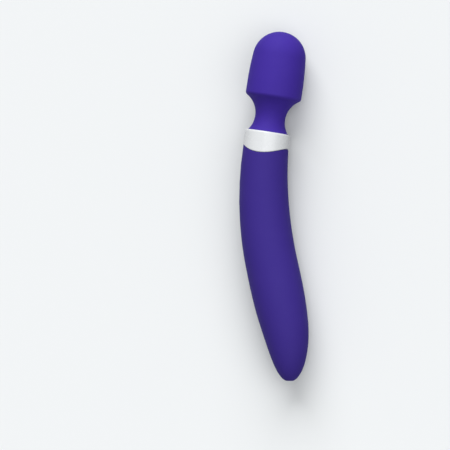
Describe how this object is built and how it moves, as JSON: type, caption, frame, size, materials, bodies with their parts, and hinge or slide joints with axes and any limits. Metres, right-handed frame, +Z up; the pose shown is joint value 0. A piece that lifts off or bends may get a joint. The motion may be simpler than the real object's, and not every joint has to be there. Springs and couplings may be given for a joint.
{
  "type": "handheld wand massager",
  "caption": "Cordless handheld wand massager with a round soft-skinned head on a bending neck, a white collar and a curved tapering handle with press keys and a charging socket in the tail.",
  "frame": {"origin": "under the middle of the box around the wand, on the surface it lies on", "axes": "+Y up the axis of the head and neck, from tail to head; +X towards the hollow side of the curved handle; +Z up, away from the surface, with the plane of the curve level"},
  "size_m": [0.0754, 0.2542, 0.0416],
  "materials": {
    "silicone": "matte",
    "white_gloss": "gloss",
    "clear": "clear",
    "black_plastic": "satin",
    "shell_plastic": "matte",
    "board": "satin",
    "steel": "satin",
    "brass": "satin",
    "armature_iron": "satin",
    "rubber": "matte",
    "cell_can": "satin",
    "wire": "satin"
  },
  "bodies": {
    "handle": {"handle_sleeve": "silicone", "collar_ring": "white_gloss", "light_pipe": "clear", "status_lamp": "clear", "circuit_board": "board", "tact_switches": "black_plastic", "board_chips": "black_plastic", "shell_front": "shell_plastic", "shell_back": "shell_plastic", "shell_screws": "steel", "neck_base": "shell_plastic", "mid_bulkhead": "shell_plastic", "tail_bulkhead": "shell_plastic", "battery_cell": "cell_can", "battery_pads": "rubber", "battery_leads": "wire", "charge_leads": "wire", "charge_jack": "black_plastic", "jack_tabs": "brass", "jack_seal": "rubber"},
    "neck": {"neck_sleeve": "silicone", "neck_spring": "steel", "motor_leads": "wire"},
    "head": {"head_cover": "silicone", "head_shell_lower": "shell_plastic", "head_shell_upper": "shell_plastic", "motor_can": "steel", "motor_end_cap": "black_plastic", "motor_magnets": "armature_iron", "motor_bushes": "brass", "motor_terminals": "brass", "motor_rings": "rubber"},
    "rotor": {"motor_shaft": "steel", "motor_armature": "armature_iron", "eccentric_weight": "steel"},
    "power": {"power_key": "silicone", "power_plunger": "black_plastic"},
    "plus": {"plus_key": "silicone", "plus_plunger": "black_plastic"},
    "minus": {"minus_key": "silicone", "minus_plunger": "black_plastic"}
  },
  "joints": [
    {"name": "neck_sway", "type": "hinge", "parent": "handle", "child": "neck", "pos_m": [-0.01693, 0.0586, 0.0208], "axis": [0, 0, 1], "range_deg": [-15, 15], "stiffness_Nm_per_rad": 1.5, "deforming": ["neck_sleeve", "neck_spring", "motor_leads"]},
    {"name": "neck_nod", "type": "hinge", "parent": "neck", "child": "head", "pos_m": [-0.01693, 0.0676, 0.0208], "axis": [1, 0, 0], "range_deg": [-15, 15], "stiffness_Nm_per_rad": 1.5, "deforming": ["neck_sleeve", "neck_spring", "motor_leads"]},
    {"name": "motor_spin", "type": "hinge", "parent": "head", "child": "rotor", "pos_m": [-0.01693, 0.0921, 0.0208], "axis": [0, 1, 0], "continuous": true},
    {"name": "power_press", "type": "slide", "parent": "handle", "child": "power", "axis": [0.9895, 0.1445, 0], "range_m": [0, 0.0006], "stiffness_N_per_m": 1000},
    {"name": "plus_press", "type": "slide", "parent": "handle", "child": "plus", "axis": [0.9895, 0.1445, 0], "range_m": [0, 0.0006], "stiffness_N_per_m": 1000},
    {"name": "minus_press", "type": "slide", "parent": "handle", "child": "minus", "axis": [0.9895, 0.1445, 0], "range_m": [0, 0.0006], "stiffness_N_per_m": 1000}
  ]
}
